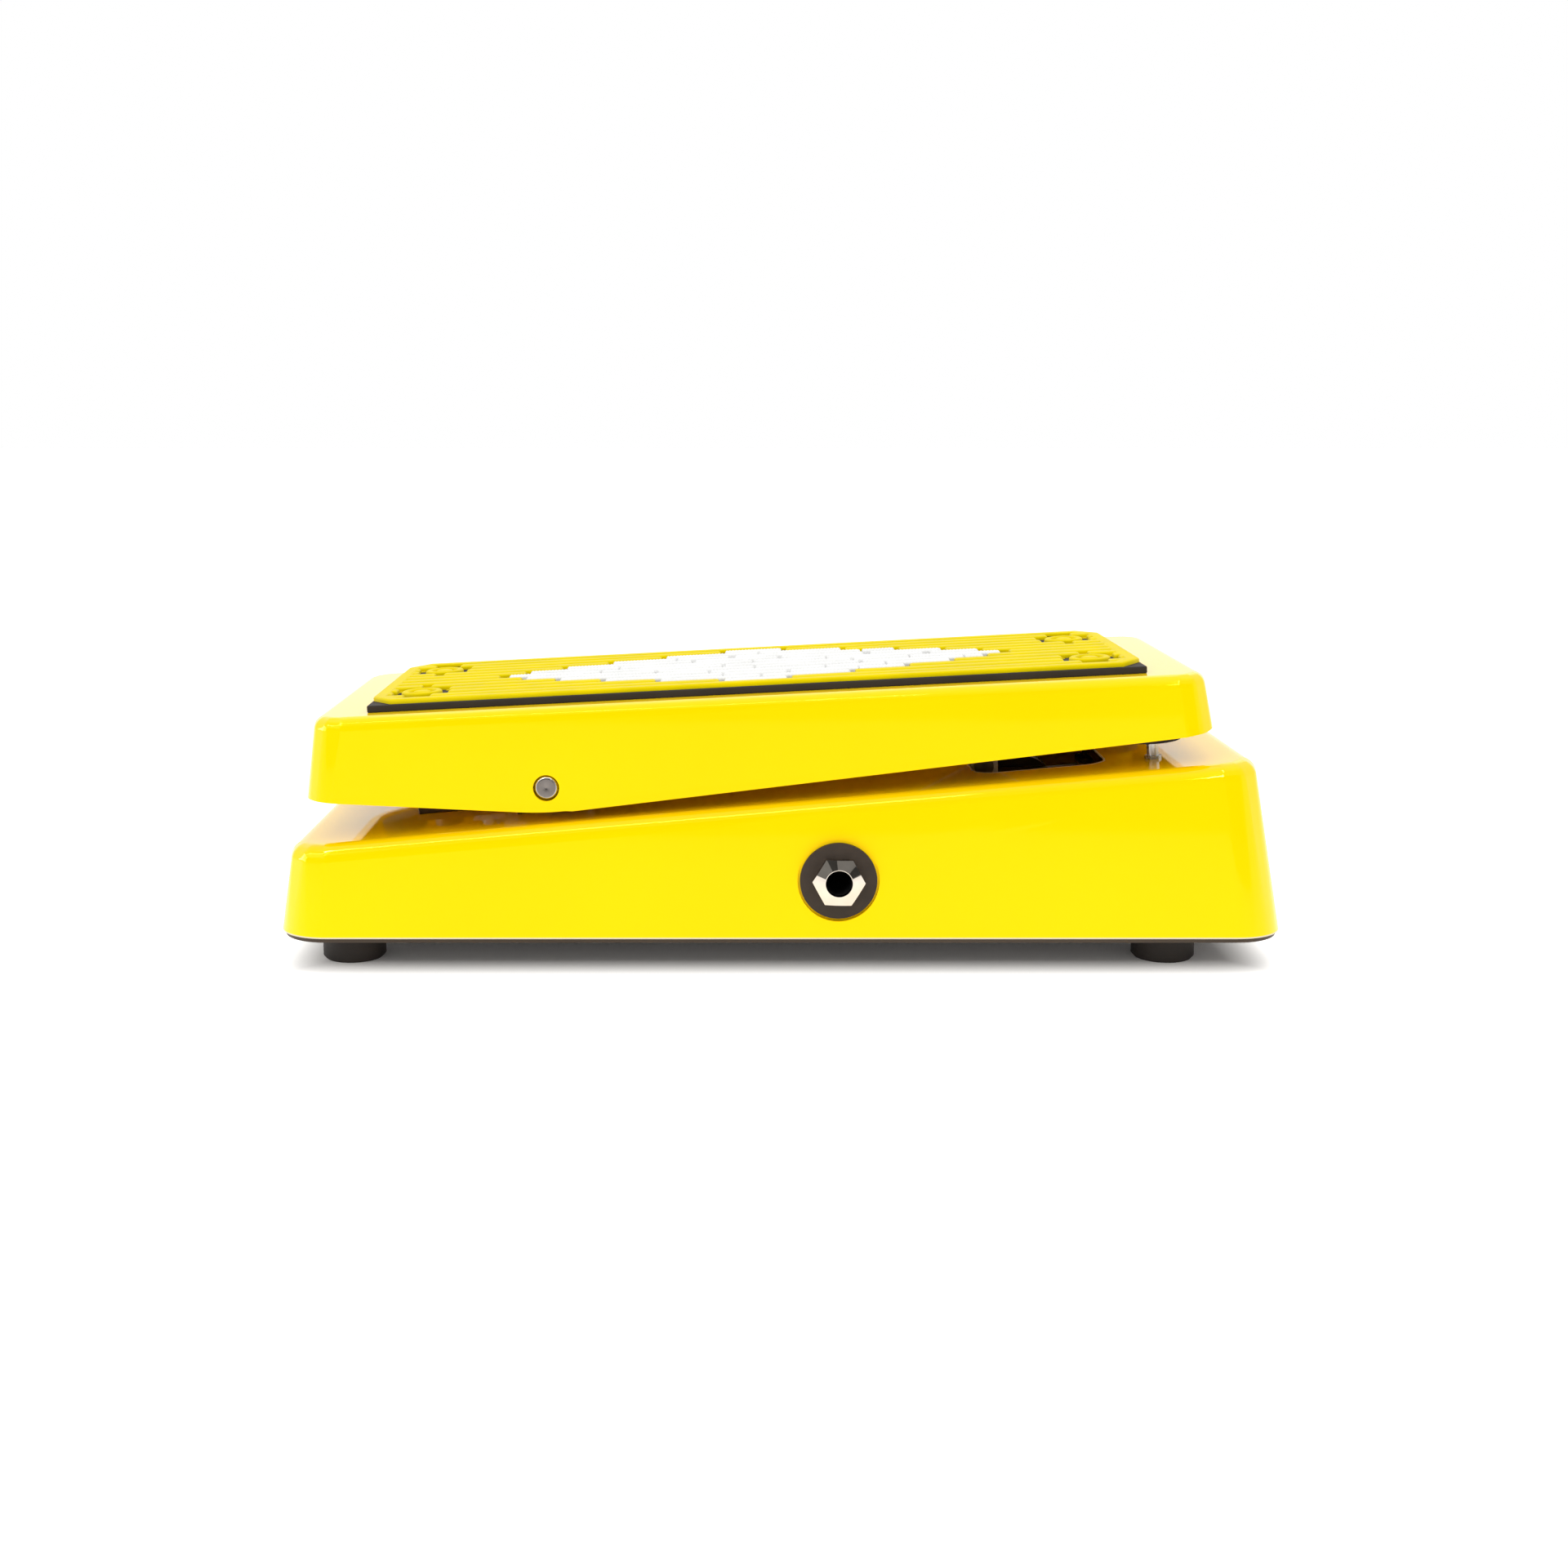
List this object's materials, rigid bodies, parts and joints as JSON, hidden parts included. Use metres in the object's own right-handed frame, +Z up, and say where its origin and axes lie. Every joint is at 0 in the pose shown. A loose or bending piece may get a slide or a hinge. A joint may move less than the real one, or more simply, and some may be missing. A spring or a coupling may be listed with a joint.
{
  "type": "volume pedal",
  "caption": "Rocker volume pedal: cast base with side jacks, ribbed rubber treadle on a cross axle, rack and pinion turning a rotary control.",
  "frame": {"origin": "middle of the outline, on the floor under the feet", "axes": "+X along the length to the toe end, +Y across to the far side, +Z up"},
  "size_m": [0.254, 0.106, 0.0768],
  "materials": {
    "yellow_paint": "gloss",
    "black_rubber": "matt",
    "yellow_rubber": "satin",
    "white_rubber": "satin",
    "steel": "brushed",
    "zinc_screw": "zinc plated",
    "black_steel": "satin black",
    "plate_steel": "plain",
    "bronze": "plain",
    "brass": "plain",
    "chrome": "polished",
    "washer_black": "matt",
    "black_plastic": "matt",
    "nylon": "matt",
    "phenolic": "matt",
    "wire_blue": "satin",
    "wire_black": "satin"
  },
  "bodies": {
    "chassis": {"base_housing": "yellow_paint", "bottom_plate": "plate_steel", "rubber_feet": "black_rubber", "foot_screws": "zinc_screw", "hinge_bracket": "steel", "hinge_screws": "zinc_screw", "pivot_bushings": "bronze", "friction_clamp": "nylon", "clamp_screws": "zinc_screw", "tension_screw": "zinc_screw", "tension_nut": "zinc_screw", "toe_stop_studs": "zinc_screw", "pot_body": "plate_steel", "pot_element": "phenolic", "pot_lugs": "zinc_screw", "pot_can": "plate_steel", "pot_nut": "zinc_screw", "pot_bracket": "plate_steel", "pot_bracket_screws": "zinc_screw", "input_jack_body": "black_plastic", "input_jack_washer": "washer_black", "input_jack_nut": "chrome", "output_jack_body": "black_plastic", "output_jack_washer": "washer_black", "output_jack_nut": "chrome", "jack_contacts": "brass", "signal_wires": "wire_blue", "ground_wires": "wire_black"},
    "treadle": {"treadle": "yellow_paint", "tread_pad": "black_rubber", "tread_ribs": "yellow_rubber", "tread_motif": "white_rubber", "tread_bosses": "yellow_rubber", "pivot_axle": "steel", "axle_set_screws": "black_steel", "toe_bumpers": "black_rubber", "heel_bumpers": "black_rubber", "gear_rack": "nylon", "rack_arm": "plate_steel", "arm_screws": "zinc_screw", "rack_rivets": "steel"},
    "pot_rotor": {"pot_shaft": "steel", "pot_wiper": "brass", "pinion": "brass", "pinion_set_screw": "black_steel"}
  },
  "joints": [
    {"name": "treadle_tilt", "type": "hinge", "parent": "chassis", "child": "treadle", "pos_m": [-0.0587, 0, 0.04615], "axis": [0, 1, 0], "range_deg": [-9.5, 0]},
    {"name": "pot_spin", "type": "hinge", "parent": "chassis", "child": "pot_rotor", "pos_m": [0.06672, 0, 0.03407], "axis": [0, 1, 0], "range_deg": [-2, 192]}
  ],
  "couplings": [
    {"joint": "pot_spin", "follows": "treadle_tilt", "ratio": -20}
  ]
}
